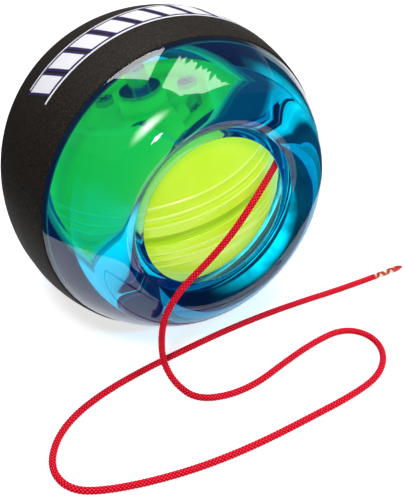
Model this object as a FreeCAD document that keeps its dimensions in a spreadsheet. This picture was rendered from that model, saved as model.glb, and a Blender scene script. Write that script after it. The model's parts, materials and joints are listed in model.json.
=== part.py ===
import FreeCAD, Part
import math
import os
import re
import Sketcher
from FreeCAD import Placement, Rotation, Vector

# Gyroscopic wrist ball, lying on its side with its starting cord on the floor.
# Millimetres. +Z is up, the round opening faces -Y and the flat base faces +Y.
# The origin is on the floor, under the middle of the ball's box.
#
# The pieces are drawn in two frames of their own:
#   the ball frame, whose height runs forward along the opening's axis
#   the rotor frame, whose height runs along the axle

# Driving sizes: name, value, meaning
SIZES = [
    # Rotor
    ("rotor_radius", 23.9, "outside of the rotor, a sphere"),
    ("rib_height", 0.15, "fine ribs on the rotor"),
    ("rib_width", 0.55, "width of each rib at its foot"),
    ("rib_offset", 0.9, "from the string band's edge to the rib on either side of it"),
    ("rib_pitch", 2.1, "from the middle rib to the outer one"),
    ("band_half", 4.1, "half of the width of the string band"),
    ("groove_half", 1.1, "half of the width of the string groove"),
    ("groove_depth", 1.5, "depth of the string groove"),
    ("cord_hole", 0.85, "radius of the starting hole in the groove"),
    ("cord_hole_depth", 6.0, "depth of the starting hole"),
    ("end_angle", 40.4, "edge of the rotor's flat ends, in degrees from the axle"),
    ("end_land", 2.7, "flat ring round the recess in each end"),
    ("end_depth", 3.3, "depth of that recess"),
    ("cap_wall", 1.7, "thickness of each cap under the recess"),
    ("cap_skin", 0.6, "thickness of each cap over the flywheel's edge"),
    ("boss_radius", 4.6, "boss round the axle"),
    ("hub_web", 1.95, "between the hub and the holes of the screws"),
    ("axle_radius", 2.0, "axle between its shoulders"),
    ("shoulder_gap", 2.15, "gap between the axle's shoulders and the axle ring"),
    ("tip_radius", 1.25, "tips of the axle"),
    ("tip_clear", 0.35, "gap between the axle's ends and the end of the track"),
    ("tip_play", 0.15, "gap between an axle tip and each hard ring"),
    ("tip_round", 0.5, "bevel at the axle's ends"),
    ("washer_radius", 4.0, "outside of the end washers"),
    ("washer_thickness", 0.7, "thickness of the end washers"),
    ("screw_radius", 1.0, "shank of the rotor's screws"),
    ("screw_head", 1.9, "radius of their heads"),
    ("screw_head_height", 1.3, "height of their heads"),
    ("screw_gap", 1.0, "gap between their heads and the wall of the recess"),
    ("screw_tip", 1.2, "end of each screw, from the rotor's middle"),
    # Axle ring and hard rings
    ("ring_gap", 0.85, "gap between the rotor's sphere and the axle ring"),
    ("ring_side", 0.42, "axle ring above and below its bushes"),
    ("ring_fit", 0.08, "gap between the axle ring and its groove"),
    ("bush_radius", 2.1, "outside of the axle's bushes"),
    ("race_thickness", 0.6, "thickness of each hard ring along the track"),
    ("race_fit", 0.05, "gap round each hard ring"),
    ("fit", 0.05, "small gap between pieces that are pressed or slid together"),
    # Shells, each layer outside the one before
    ("rotor_clear", 2.0, "gap between the rotor and the shells"),
    ("recess_depth", 0.9, "depth of the groove that the axle ring turns in"),
    ("track_depth", 2.2, "depth of the track that the axle's tips roll in, below that groove"),
    ("track_wall", 0.75, "between the track and the locating tongue"),
    ("tongue_width", 0.5, "thickness of the locating tongue between the shells"),
    ("tongue_wall", 0.75, "between the tongue and the seat of the grip"),
    ("tongue_height", 1.2, "how far the tongue reaches into the front shell"),
    ("tongue_fit", 0.08, "gap round the tongue"),
    ("grip_wall", 2.0, "depth of the seat that the grip lies in"),
    ("grip_swell", 0.1, "how far the grip stands above the shells"),
    ("grip_front", 10.7, "front edge of the grip, in front of the ball's middle"),
    ("grip_rear", 19.0, "rear edge of the grip, behind the middle"),
    ("grip_fit", 0.05, "gap under the grip"),
    ("grip_seam", 0.12, "gap at each edge of the grip"),
    ("land_half", 2.4, "half of the width of the straight land that the ball stands on"),
    # Lip, from the opening outward
    ("hole_radius", 15.5, "the opening"),
    ("hole_edge", 0.35, "height of the opening's upright edge"),
    ("chamfer_width", 2.0, "chamfer inside the rounded lip"),
    ("chamfer_rise", 0.34, "how far that chamfer rises"),
    ("lip_width", 3.3, "from the chamfer to the lip's crest"),
    ("lip_rise", 1.4, "how far the lip rises over that width"),
    # Base
    ("base_wall", 1.7, "thickness of the rear shell behind the cover"),
    ("base_round", 1.2, "rounding at the rim of the base"),
    ("base_rim", 1.6, "flat ring round the cover"),
    ("cover_thickness", 1.8, "thickness of the round cover in the base"),
    ("cover_sink", 0.3, "how far the cover lies below the base"),
    ("cover_fit", 0.1, "gap round the cover"),
    ("notch_radius", 1.6, "thumb notch at the rim of the cover"),
    # Slots of the screws
    ("slot_width", 0.45, "cross slot in the heads"),
    ("slot_length", 2.4, "length of the cross slot"),
    ("slot_depth", 0.7, "depth of the cross slot"),
    # Cord
    ("cord_radius", 0.73, "starting cord"),
    ("tip_end_radius", 0.3, "radius at the end of the cord's stiffened tip"),
    ("tip_body_radius", 0.70, "radius of that tip"),
    ("tip_length", 8.4, "length of that tip"),
    ("tip_taper", 3.0, "length of the tip's tapered end"),
    # One length that every cut runs past its piece
    ("overrun", 1.0, "how far cutting tools run past a piece"),
]

# Counts and angles
TILT = 14.0                    # degrees, the axle from upright as photographed
SCREWS_PER_CAP = 3
CORD_HOLES = 2                 # starting holes in the string groove, opposite each other
GROOVE_FLOOR_SHARE = 0.8       # of the groove's width, taken up by its rounded floor
GROOVE_CURVE_SHARE = 0.5       # of half that width, how far the floor's edges stand above it

# Route of the cord's middle line, chosen by hand: out of the gap under the lip, across
# the rotor, over the lip, down to the floor and round in a loose loop
CORD_ROUTE = [
    (18.4, -18.7, 39.4),
    (15.4, -21.8, 39.0),
    (11.2, -24.9, 38.2),
    (6.6, -27.2, 35.6),
    (1.4, -28.1, 30.5),
    (-3.6, -27.6, 25.5),
    (-9.9, -27.0, 20.4),
    (-13.6, -26.9, 14.9),
    (-14.3, -26.9, 7.8),
    (-13.7, -27.4, 2.9),
    (-13.1, -31.0, 0.73),
    (-11.8, -36.2, 0.73),
    (-6.8, -38.7, 0.73),
    (0.4, -38.9, 0.73),
    (9.2, -36.4, 0.73),
    (18.2, -34.2, 0.73),
    (26.6, -33.6, 0.73),
    (30.6, -38.0, 0.73),
    (29.5, -44.4, 0.73),
    (23.6, -49.5, 0.73),
    (15.0, -51.2, 0.73),
    (4.6, -51.9, 0.73),
    (-6.2, -52.5, 0.73),
    (-17.0, -52.3, 0.73),
    (-27.2, -50.9, 0.73),
    (-36.6, -48.3, 0.73),
    (-42.0, -45.2, 0.73),
    (-43.4, -39.4, 0.73),
    (-40.4, -33.4, 0.73),
    (-34.8, -28.7, 0.73),
    (-26.6, -25.5, 0.73),
    (-16.6, -23.5, 0.73),
    (-6.4, -22.3, 0.73),
    (4.2, -21.2, 0.73),
    (15.2, -20.8, 0.73),
    (25.8, -21.1, 0.73),
    (35.8, -21.8, 0.73),
    (45.6, -21.9, 0.73),
]
ARC_SHARE = 0.45               # of the shorter run, taken up by the arc at each point

# Places that several pieces share, each worked out from the sizes
DERIVED = {
    "cavity_radius": "rotor_radius + rotor_clear",
    "recess_radius": "cavity_radius + recess_depth",
    "recess_height": "ring_half + ring_fit",
    "recess_edge": "sqrt(cavity_radius ^ 2 - recess_height ^ 2)",
    "track_radius": "recess_radius + track_depth",
    "track_half": "tip_radius + tip_play",
    "race_top": "track_half + race_thickness",
    "tongue_in": "track_radius + track_wall",
    "tongue_out": "tongue_in + tongue_width",
    "seat_radius": "tongue_out + tongue_wall",
    "shell_radius": "seat_radius + grip_wall",
    "grip_radius": "shell_radius + grip_swell",
    "hole_height": "sqrt(cavity_radius ^ 2 - hole_radius ^ 2)",
    "chamfer_foot": "hole_height + hole_edge",
    "lip_line_radius": "hole_radius + chamfer_width",
    "lip_line_height": "chamfer_foot + chamfer_rise",
    "crest_radius": "lip_line_radius + lip_width",
    "crest_height": "lip_line_height + lip_rise",
    "lip_round": "(lip_width ^ 2 + lip_rise ^ 2) / (2 * lip_rise)",
    "shoulder_radius": "(shell_radius ^ 2 - crest_radius ^ 2 - crest_height ^ 2)"
                       " / (2 * (shell_radius - crest_height))",
    "shoulder_scale": "shell_radius / (shell_radius - shoulder_radius)",
    "cover_floor": "cavity_radius + base_wall",
    "base_height": "cover_floor + cover_thickness + cover_sink",
    "base_flat": "sqrt((shell_radius - base_round) ^ 2 - (base_height - base_round) ^ 2)",
    "base_scale": "shell_radius / (shell_radius - base_round)",
    "cover_radius": "base_flat - base_rim",
    "ring_inner": "rotor_radius + ring_gap",
    "ring_outer": "recess_radius - ring_fit",
    "ring_half": "bush_radius + ring_side",
    "grip_inside": "seat_radius + grip_fit",
    "grip_front_end": "grip_front - grip_seam",
    "grip_rear_end": "grip_rear - grip_seam",
    "grip_sphere": "sqrt(grip_radius ^ 2 + land_half ^ 2)",
    "end_height": "rotor_radius * cos(end_angle)",
    "end_radius": "rotor_radius * sin(end_angle)",
    "rim_radius": "end_radius - end_land",
    "recess_floor": "end_height - end_depth",
    "cap_floor": "recess_floor - cap_wall",
    "hub_half": "cap_floor - fit",
    "wheel_low": "band_half + fit",
    "wheel_high": "cap_floor - fit",
    "wheel_radius": "sqrt((rotor_radius - cap_skin) ^ 2 - wheel_high ^ 2)",
    "rib_inner": "band_half - rib_offset",
    "rib_middle": "band_half + rib_offset",
    "rib_outer": "rib_middle + rib_pitch",
    "groove_floor": "rotor_radius - groove_depth",
    "screw_circle": "rim_radius - screw_gap - screw_head",
    "screw_hole": "screw_radius + fit",
    "hub_radius": "screw_circle - screw_hole - hub_web",
    "axle_shoulder": "ring_inner - shoulder_gap",
    "axle_end": "track_radius - tip_clear",
}

doc = FreeCAD.newDocument("wrist_ball")
sheet = doc.addObject("Spreadsheet::Sheet", "sizes")
for row, (name, value, meaning) in enumerate(SIZES, start=1):
    sheet.set(f"A{row}", meaning)
    sheet.set(f"B{row}", str(value))
    sheet.setAlias(f"B{row}", name)
doc.recompute()

SIZE_NAMES = {name for name, value, meaning in SIZES}


def formula(text):
    """An expression on the sheet, from size names and the shared places."""
    def swap(match):
        word = match.group(0)
        if word in DERIVED:
            return "(" + formula(DERIVED[word]) + ")"
        if word in SIZE_NAMES:
            return "sizes." + word
        return word
    return re.sub(r"[a-z_]+", swap, text)


def size(text):
    """The number that an expression on the sheet gives."""
    return float(sheet.evalExpression(formula(text)))


def plane(body, role):
    """One of a body's own origin planes or axes."""
    return next(item for item in body.Origin.OriginFeatures if item.Role == role)


def arc_between(start, end, radius, side):
    """A short arc; its centre lies left of the way from start to end for side 1, else right."""
    chord = end - start
    reach = math.sqrt(max(radius ** 2 - (chord.Length / 2) ** 2, 0))
    across = Vector(-chord.y, chord.x, 0).normalize() * reach * side
    centre = (start + end) / 2 + across
    first, last = (start, end) if side > 0 else (end, start)
    angles = [math.atan2(p.y - centre.y, p.x - centre.x) for p in (first, last)]
    return Part.ArcOfCircle(Part.Circle(centre, Vector(0, 0, 1), radius), *angles)


def bind(sketch, constraint, text):
    """Add a constraint whose value follows an expression on the sheet."""
    index = sketch.addConstraint(constraint)
    sketch.setExpression(f"Constraints[{index}]", formula(text))


def pin_point(sketch, edge, end, across, up):
    """Hold one end of an edge at a place given by two expressions."""
    for text, kind, axis, value in (
        (across, "DistanceX", -2, 0),
        (up, "DistanceY", -1, 0),
    ):
        if text == "0":
            sketch.addConstraint(Sketcher.Constraint("PointOnObject", edge, end, axis))
        else:
            value = size(text)
            bind(sketch, Sketcher.Constraint(kind, -1, 1, edge, end, value), text)


def draw_outline(sketch, corners):
    """A closed outline. Each corner is (across, up), or (across, up, radius, side)
    where the edge that arrives at it is an arc."""
    points = [Vector(size(c[0]), size(c[1]), 0) for c in corners]
    ends = []
    for index, corner in enumerate(corners):
        start, end = points[index - 1], points[index]
        if len(corner) == 4:
            radius, side = corner[2], corner[3]
            edge = sketch.addGeometry(arc_between(start, end, size(radius), side), False)
            ends.append((1, 2) if side > 0 else (2, 1))
        else:
            edge = sketch.addGeometry(Part.LineSegment(start, end), False)
            ends.append((1, 2))
    for index, corner in enumerate(corners):
        following = (index + 1) % len(corners)
        sketch.addConstraint(
            Sketcher.Constraint("Coincident", index, ends[index][1], following, ends[following][0])
        )
        pin_point(sketch, index, ends[index][1], corner[0], corner[1])
        if len(corner) == 4:
            bind(sketch, Sketcher.Constraint("Radius", index, size(corner[2])), corner[2])


def new_sketch(body, name, role):
    """An empty sketch on one of the body's origin planes."""
    sketch = body.newObject("Sketcher::SketchObject", name)
    sketch.AttachmentSupport = [(plane(body, role), "")]
    sketch.MapMode = "FlatFace"
    return sketch


def turned_body(label, corners):
    """A body turned about its own Z axis from an outline of radius and height."""
    body = doc.addObject("PartDesign::Body", label)
    sketch = new_sketch(body, label + "_profile", "XZ_Plane")
    draw_outline(sketch, corners)
    turn = body.newObject("PartDesign::Revolution", label + "_turn")
    turn.Profile = sketch
    turn.ReferenceAxis = (sketch, ["V_Axis"])
    turn.Angle = 360
    doc.recompute()
    return body


def drill(body, name, role, across, up, radius, floor=None, depth=None, copies=1):
    """A round pocket in a body: through it both ways, or outward from a floor that lies
    at a height over the sketch's plane. It is repeated about Z if asked, and it has to
    take material away."""
    before = body.Shape.Volume
    sketch = new_sketch(body, name + "_circle", role)
    centre = Vector(size(across), size(up), 0)
    circle = sketch.addGeometry(Part.Circle(centre, Vector(0, 0, 1), size(radius)), False)
    pin_point(sketch, circle, 3, across, up)
    bind(sketch, Sketcher.Constraint("Radius", circle, size(radius)), radius)
    pocket = body.newObject("PartDesign::Pocket", name)
    pocket.Profile = sketch
    if floor is None:
        pocket.Type = "ThroughAll"
        pocket.Midplane = True
    else:
        sketch.setExpression("AttachmentOffset.Base.z", formula(floor))
        pocket.Type = "Length"
        pocket.setExpression("Length", formula(depth))
        pocket.Reversed = True
    if copies > 1:
        pattern = body.newObject("PartDesign::PolarPattern", name + "_ring")
        pattern.Originals = [pocket]
        pattern.Axis = (plane(body, "Z_Axis"), [""])
        pattern.Angle = 360
        pattern.Occurrences = copies
        body.Tip = pattern
    doc.recompute()
    if not body.Shape.Volume < before:
        raise RuntimeError(name + " takes nothing away")


# Where the pieces go
centre = Vector(0, 0, 0)
front_reach = size("rotor_radius + rib_height")
back_reach = size("base_height")
centre.y = (front_reach - back_reach) / 2
centre.z = size("grip_radius")
facing = Rotation(Vector(1, 0, 0), 90)
tilted = Rotation(Vector(0, 0, 1), TILT)
axle_way = Rotation(Vector(0, 1, 0), -TILT)
ball_place = Placement(centre, facing)
ring_place = Placement(centre, facing * tilted)
rotor_place = Placement(centre, axle_way)
turned_over = Placement(Vector(0, 0, 0), Rotation(Vector(1, 0, 0), 180))

nodes = {}


def keep(label, thing, place):
    """Give a sub-part its label and its place."""
    thing.Label = label
    thing.Placement = place
    nodes[label] = thing


# Shells, grip and cover, in the ball frame
def front_shell():
    return turned_body("front_shell", [
        ("tongue_out + tongue_fit", "0"),
        ("seat_radius", "0"),
        ("sqrt(seat_radius ^ 2 - grip_front ^ 2)", "grip_front", "seat_radius", 1),
        ("sqrt(shell_radius ^ 2 - grip_front ^ 2)", "grip_front"),
        ("crest_radius * shoulder_scale", "(crest_height - shoulder_radius) * shoulder_scale",
         "shell_radius", 1),
        ("crest_radius", "crest_height", "shoulder_radius", 1),
        ("lip_line_radius", "lip_line_height", "lip_round", 1),
        ("hole_radius", "chamfer_foot"),
        ("hole_radius", "hole_height"),
        ("recess_edge", "recess_height", "cavity_radius", -1),
        ("recess_radius", "recess_height"),
        ("recess_radius", "race_top"),
        ("track_radius", "race_top"),
        ("track_radius", "0"),
        ("tongue_in - tongue_fit", "0"),
        ("tongue_in - tongue_fit", "tongue_height + tongue_fit"),
        ("tongue_out + tongue_fit", "tongue_height + tongue_fit"),
    ])


def rear_shell():
    return turned_body("rear_shell", [
        ("tongue_in", "0"),
        ("tongue_in", "tongue_height"),
        ("tongue_out", "tongue_height"),
        ("tongue_out", "0"),
        ("seat_radius", "0"),
        ("sqrt(seat_radius ^ 2 - grip_rear ^ 2)", "-grip_rear", "seat_radius", -1),
        ("sqrt(shell_radius ^ 2 - grip_rear ^ 2)", "-grip_rear"),
        ("base_flat * base_scale", "-(base_height - base_round) * base_scale", "shell_radius", -1),
        ("base_flat", "-base_height", "base_round", -1),
        ("cover_radius", "-base_height"),
        ("cover_radius", "-cover_floor"),
        ("0", "-cover_floor"),
        ("0", "-cavity_radius"),
        ("recess_edge", "-recess_height", "cavity_radius", 1),
        ("recess_radius", "-recess_height"),
        ("recess_radius", "-race_top"),
        ("track_radius", "-race_top"),
        ("track_radius", "0"),
    ])


def grip_sleeve():
    return turned_body("grip_sleeve", [
        ("sqrt(grip_inside ^ 2 - grip_front_end ^ 2)", "grip_front_end"),
        ("sqrt(grip_inside ^ 2 - grip_rear_end ^ 2)", "-grip_rear_end", "grip_inside", -1),
        ("sqrt(grip_sphere ^ 2 - grip_rear_end ^ 2)", "-grip_rear_end"),
        ("grip_radius", "-land_half", "grip_sphere", 1),
        ("grip_radius", "land_half"),
        ("sqrt(grip_sphere ^ 2 - grip_front_end ^ 2)", "grip_front_end", "grip_sphere", 1),
    ])


def base_cover():
    body = turned_body("base_cover", [
        ("0", "-cover_floor"),
        ("0", "-cover_floor - cover_thickness"),
        ("cover_radius - cover_fit", "-cover_floor - cover_thickness"),
        ("cover_radius - cover_fit", "-cover_floor"),
    ])
    drill(body, "thumb_notch", "XY_Plane", "0", "cover_radius", "notch_radius")
    return body


def race(label, low, high):
    return turned_body(label, [
        ("recess_radius + race_fit", low),
        ("track_radius - race_fit", low),
        ("track_radius - race_fit", high),
        ("recess_radius + race_fit", high),
    ])


keep("front_shell", front_shell(), ball_place)
keep("rear_shell", rear_shell(), ball_place)
keep("grip_sleeve", grip_sleeve(), ball_place)
keep("base_cover", base_cover(), ball_place)
keep("front_race", race("front_race", "track_half", "race_top"), ball_place)
keep("rear_race", race("rear_race", "-race_top", "-track_half"), ball_place)


# Axle ring and its two bushes, in the ball frame turned so that the axle lies along Y
def axle_ring():
    body = turned_body("axle_ring", [
        ("ring_inner", "-ring_half"),
        ("ring_outer", "-ring_half"),
        ("ring_outer", "ring_half"),
        ("ring_inner", "ring_half"),
    ])
    drill(body, "bush_holes", "XZ_Plane", "0", "0", "bush_radius")
    return body


def axle_bush(label):
    """A plain bush, in a frame of its own whose height runs out along the axle."""
    return turned_body(label, [
        ("tip_radius + fit", "ring_inner"),
        ("bush_radius - fit", "ring_inner"),
        ("bush_radius - fit", "sqrt(ring_outer ^ 2 - bush_radius ^ 2)"),
        ("tip_radius + fit", "sqrt(ring_outer ^ 2 - bush_radius ^ 2)"),
    ])


keep("axle_ring", axle_ring(), ring_place)
keep("axle_bush_left", axle_bush("axle_bush_left"), rotor_place)
keep("axle_bush_right", axle_bush("axle_bush_right"), rotor_place * turned_over)


# Rotor, in the rotor frame
def on_rotor(height, lift="0"):
    """Radius of the rotor's sphere at a height, as an expression."""
    return f"sqrt((rotor_radius + {lift}) ^ 2 - ({height}) ^ 2)"


def rib(height):
    """Three corners that go up over one fine rib, from its far side to its near side."""
    return [
        (on_rotor(f"{height} + rib_width / 2"), f"{height} + rib_width / 2"),
        (on_rotor(height, "rib_height"), height),
        (on_rotor(f"{height} - rib_width / 2"), f"{height} - rib_width / 2"),
    ]


def along_rotor(corner, side):
    """The same corner, reached by an arc on the rotor's sphere."""
    return (corner[0], corner[1], "rotor_radius", side)


def rotor_axle():
    return turned_body("rotor_axle", [
        ("0", "-axle_end"),
        ("tip_radius - tip_round", "-axle_end"),
        ("tip_radius", "-axle_end + tip_round"),
        ("tip_radius", "-axle_shoulder"),
        ("axle_radius", "-axle_shoulder"),
        ("axle_radius", "axle_shoulder"),
        ("tip_radius", "axle_shoulder"),
        ("tip_radius", "axle_end - tip_round"),
        ("tip_radius - tip_round", "axle_end"),
        ("0", "axle_end"),
    ])


def rotor_hub():
    return turned_body("rotor_hub", [
        ("axle_radius + fit", "-hub_half"),
        ("hub_radius", "-hub_half"),
        ("hub_radius", "hub_half"),
        ("axle_radius + fit", "hub_half"),
    ])


def string_band():
    near, far = rib("-rib_inner"), rib("rib_inner")
    floor_start = f"groove_floor + groove_half * {GROOVE_CURVE_SHARE}"
    floor_half = f"groove_half * {GROOVE_FLOOR_SHARE}"
    body = turned_body("string_band", [
        ("hub_radius + fit", "band_half"),
        ("hub_radius + fit", "-band_half"),
        (on_rotor("band_half"), "-band_half"),
        along_rotor(near[2], 1),
        near[1],
        near[0],
        (on_rotor("groove_half"), "-groove_half", "rotor_radius", 1),
        (floor_start, f"-{floor_half}"),
        (floor_start, floor_half, "groove_half", -1),
        (on_rotor("groove_half"), "groove_half"),
        along_rotor(far[2], 1),
        far[1],
        far[0],
        (on_rotor("band_half"), "band_half", "rotor_radius", 1),
    ])
    for cap, turn in (("left", 0), ("right", 180 / SCREWS_PER_CAP)):
        add_screw_holes(body, "band_holes_" + cap, turn)
    drill(body, "cord_holes", "YZ_Plane", "0", "0", "cord_hole",
          floor="groove_floor - cord_hole_depth", depth="cord_hole_depth + overrun",
          copies=CORD_HOLES)
    return body


def rotor_cap(label):
    """One cap, with its end at the top; the other is the same piece turned over."""
    near, far = rib("rib_middle"), rib("rib_outer")
    body = turned_body(label, [
        (on_rotor("band_half + fit"), "band_half + fit"),
        along_rotor(near[2], 1),
        near[1],
        near[0],
        along_rotor(far[2], 1),
        far[1],
        far[0],
        (on_rotor("end_height"), "end_height", "rotor_radius", 1),
        ("rim_radius", "end_height"),
        ("rim_radius", "recess_floor"),
        ("boss_radius", "recess_floor"),
        ("boss_radius", "end_height"),
        ("axle_radius + fit", "end_height"),
        ("axle_radius + fit", "cap_floor"),
        ("wheel_radius + fit", "cap_floor"),
        ("wheel_radius + fit", "band_half + fit"),
    ])
    add_screw_holes(body, label + "_holes", 0)
    return body


def flywheel(label):
    body = turned_body(label, [
        ("hub_radius + fit", "wheel_low"),
        ("wheel_radius", "wheel_low"),
        ("wheel_radius", "wheel_high"),
        ("hub_radius + fit", "wheel_high"),
    ])
    add_screw_holes(body, label + "_holes", 0)
    return body


def add_screw_holes(body, name, turn):
    """Holes for one cap's screws, the first one turned about the axle from X."""
    angle = math.radians(turn)
    across = f"screw_circle * {math.cos(angle):.9f}"
    up = f"screw_circle * {math.sin(angle):.9f}" if turn else "0"
    drill(body, name, "XY_Plane", across, up, "screw_hole", copies=SCREWS_PER_CAP)


def end_washer(label):
    return turned_body(label, [
        ("axle_radius + fit", "end_height"),
        ("washer_radius", "end_height"),
        ("washer_radius", "end_height + washer_thickness"),
        ("axle_radius + fit", "end_height + washer_thickness"),
    ])


def rotor_screws():
    """The pan-headed screws of both caps, separate solids in one group."""
    screws = []
    for cap, over in enumerate((Placement(), turned_over)):
        for number in range(SCREWS_PER_CAP):
            turn = 360 / SCREWS_PER_CAP * number
            name = f"screw_{cap}_{number}"
            place = over * Placement(Vector(0, 0, 0), Rotation(Vector(0, 0, 1), turn))
            screws.append(screw(name, place))
    group = doc.addObject("Part::Compound", "rotor_screws")
    group.Links = screws
    return group


def screw(name, place):
    shank = doc.addObject("Part::Cylinder", name + "_shank")
    shank.setExpression("Radius", formula("screw_radius"))
    shank.setExpression("Height", formula("recess_floor - screw_tip"))
    shank.setExpression("Placement.Base.x", formula("screw_circle"))
    shank.setExpression("Placement.Base.z", formula("screw_tip"))
    head = doc.addObject("Part::Cylinder", name + "_head")
    head.setExpression("Radius", formula("screw_head"))
    head.setExpression("Height", formula("screw_head_height"))
    head.setExpression("Placement.Base.x", formula("screw_circle"))
    head.setExpression("Placement.Base.z", formula("recess_floor"))
    whole = doc.addObject("Part::Fuse", name + "_whole")
    whole.Base = shank
    whole.Tool = head
    for part, across, along in (("long", "slot_length", "slot_width"),
                                ("wide", "slot_width", "slot_length")):
        slot = doc.addObject("Part::Box", f"{name}_slot_{part}")
        slot.setExpression("Length", formula(across))
        slot.setExpression("Width", formula(along))
        slot.setExpression("Height", formula("slot_depth + overrun"))
        slot.setExpression("Placement.Base.x", formula(f"screw_circle - {across} / 2"))
        slot.setExpression("Placement.Base.y", formula(f"-{along} / 2"))
        slot.setExpression("Placement.Base.z", formula("recess_floor + screw_head_height - slot_depth"))
        cut = doc.addObject("Part::Cut", f"{name}_cut_{part}")
        cut.Base = whole
        cut.Tool = slot
        whole = cut
    whole.Placement = place
    return whole


keep("rotor_axle", rotor_axle(), rotor_place)
keep("rotor_hub", rotor_hub(), rotor_place)
keep("string_band", string_band(), rotor_place)
for side, over in (("left", Placement()), ("right", turned_over)):
    keep("rotor_cap_" + side, rotor_cap("rotor_cap_" + side), rotor_place * over)
    keep("flywheel_" + side, flywheel("flywheel_" + side), rotor_place * over)
    keep("end_washer_" + side, end_washer("end_washer_" + side), rotor_place * over)
keep("rotor_screws", rotor_screws(), rotor_place)


# Cord
def cord_line(points):
    """Straight runs joined by tangent arcs, each as large as its two runs allow."""
    edges = []
    radii = []
    here = points[0]
    for before, corner, after in zip(points, points[1:], points[2:]):
        back, ahead = before - corner, after - corner
        half_turn = (math.pi - back.getAngle(ahead)) / 2
        setback = ARC_SHARE * min(back.Length, ahead.Length)
        radius = setback / math.tan(half_turn)
        start = corner + back.normalize() * setback
        end = corner + ahead.normalize() * setback
        inward = (start + end) / 2 - corner
        middle = corner + inward * ((radius / math.cos(half_turn) - radius) / inward.Length)
        edges.append(Part.LineSegment(here, start).toShape())
        edges.append(Part.Arc(start, middle, end).toShape())
        radii.append(radius)
        here = end
    edges.append(Part.LineSegment(here, points[-1]).toShape())
    return Part.Wire(edges), radii


def starter_cord():
    points = [Vector(*point) for point in CORD_ROUTE]
    line, radii = cord_line(points)
    radius = size("cord_radius")
    section = Part.Wire(Part.Circle(points[0], points[1] - points[0], radius).toShape())
    tube = line.makePipeShell([section], True, False)
    ideal = math.pi * radius ** 2 * line.Length
    print(f"cord length {line.Length:.1f} mm, volume {tube.Volume / ideal:.4f} of section times length")
    print("cord radii", [round(value, 1) for value in radii])
    cord = doc.addObject("Part::Feature", "starter_cord")
    cord.Shape = tube
    return cord


def cord_tip():
    """The stiffened, pointed end of the cord, drawn in a frame whose height runs along it."""
    return turned_body("cord_tip", [
        ("0", "0"),
        ("tip_body_radius", "0"),
        ("tip_body_radius", "tip_length - tip_taper"),
        ("tip_end_radius", "tip_length"),
        ("0", "tip_length"),
    ])


keep("starter_cord", starter_cord(), Placement())
last, end = Vector(*CORD_ROUTE[-2]), Vector(*CORD_ROUTE[-1])
keep("cord_tip", cord_tip(), Placement(end, Rotation(Vector(0, 0, 1), end - last)))

# Report and write
doc.recompute()
for thing in doc.Objects:
    if "Invalid" in thing.State or "Error" in thing.State:
        raise RuntimeError(f"{thing.Name} failed: {thing.State}")
os.makedirs("parts", exist_ok=True)
for label, thing in nodes.items():
    shape = thing.Shape
    if shape.isNull() or not shape.isValid() or not shape.Solids:
        raise RuntimeError(label + " is not a valid solid")
    box = shape.BoundBox
    print(f"{label:16} {len(shape.Solids)} solid, {shape.Volume:9.1f} mm3,"
          f" x {box.XMin:.1f} {box.XMax:.1f} y {box.YMin:.1f} {box.YMax:.1f}"
          f" z {box.ZMin:.1f} {box.ZMax:.1f}")
    shape.exportStep(f"parts/{label}.step")
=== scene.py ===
# Looks of the gyroscopic wrist ball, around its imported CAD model.
# Sizes are millimetres unless a comment says otherwise. Every mesh is made in metres, in the
# CAD's frame: +Z up, the round opening towards -Y, the floor at z = 0.

import json
import math

import bmesh
import bpy
from mathutils import Matrix, Vector


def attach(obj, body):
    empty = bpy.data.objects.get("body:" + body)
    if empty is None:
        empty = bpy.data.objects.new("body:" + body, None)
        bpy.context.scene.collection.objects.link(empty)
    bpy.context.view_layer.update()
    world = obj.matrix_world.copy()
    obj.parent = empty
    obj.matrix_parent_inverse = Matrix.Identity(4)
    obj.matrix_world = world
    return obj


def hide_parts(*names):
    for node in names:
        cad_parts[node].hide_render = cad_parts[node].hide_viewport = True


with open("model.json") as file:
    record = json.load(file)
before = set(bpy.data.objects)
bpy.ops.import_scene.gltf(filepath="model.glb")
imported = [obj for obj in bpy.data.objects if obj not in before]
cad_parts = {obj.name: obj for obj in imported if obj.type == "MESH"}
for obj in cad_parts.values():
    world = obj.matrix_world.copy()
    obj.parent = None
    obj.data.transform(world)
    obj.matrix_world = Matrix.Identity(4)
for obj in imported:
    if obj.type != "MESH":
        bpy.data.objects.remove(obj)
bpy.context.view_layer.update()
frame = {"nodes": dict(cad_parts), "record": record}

MM = 0.001
TURN = 2 * math.pi

# Places shared with the CAD model
BALL_CENTRE = Vector((0, -2.825, 33.1))
AXLE_TILT = math.radians(14.0)
BALL_FRAME = Matrix.Translation(BALL_CENTRE) @ Matrix.Rotation(math.radians(90), 4, "X")
ROTOR_FRAME = Matrix.Translation(BALL_CENTRE) @ Matrix.Rotation(-AXLE_TILT, 4, "Y")
TURNED_OVER = Matrix.Rotation(math.pi, 4, "X")

# Sizes shared with the CAD model. Heights are along a piece's own axis, from the ball's middle.
SHELL_RADIUS = 33.0
CAVITY_RADIUS = 25.9
SEAT_RADIUS = 31.0             # outside of the shells under the grip
GRIP_RADIUS = 33.1
GRIP_FRONT = 10.7              # how far the grip reaches from the split, to the front
GRIP_REAR = 19.0               # and to the rear
LAND_HALF = 2.4                # half the width of the land that the ball stands on
HOLE_RADIUS = 15.5
HOLE_EDGE = 0.35               # height of the opening's straight edge
LIP_LINE = (17.5, 21.44)       # radius and height where the lip's round ends
CREST = (20.8, 22.84)          # radius and height of the lip's crest
SHOULDER_RADIUS = 6.6
RECESS = (26.8, 2.6)           # radius and height of the step inside the shells
TRACK_RADIUS = 29.0
RACE_TOP = 2.0
BASE_HEIGHT = 29.7
BASE_ROUND = 1.2
COVER_RADIUS = 12.5            # of the recess for the cover
COVER_FLOOR = 27.6             # height of its floor
ROTOR_RADIUS = 23.9
RIB_HEIGHT = 0.15
RIB_WIDTH = 0.55
BAND_RIB = 3.2
CAP_RIBS = (5.0, 7.1)
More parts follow.
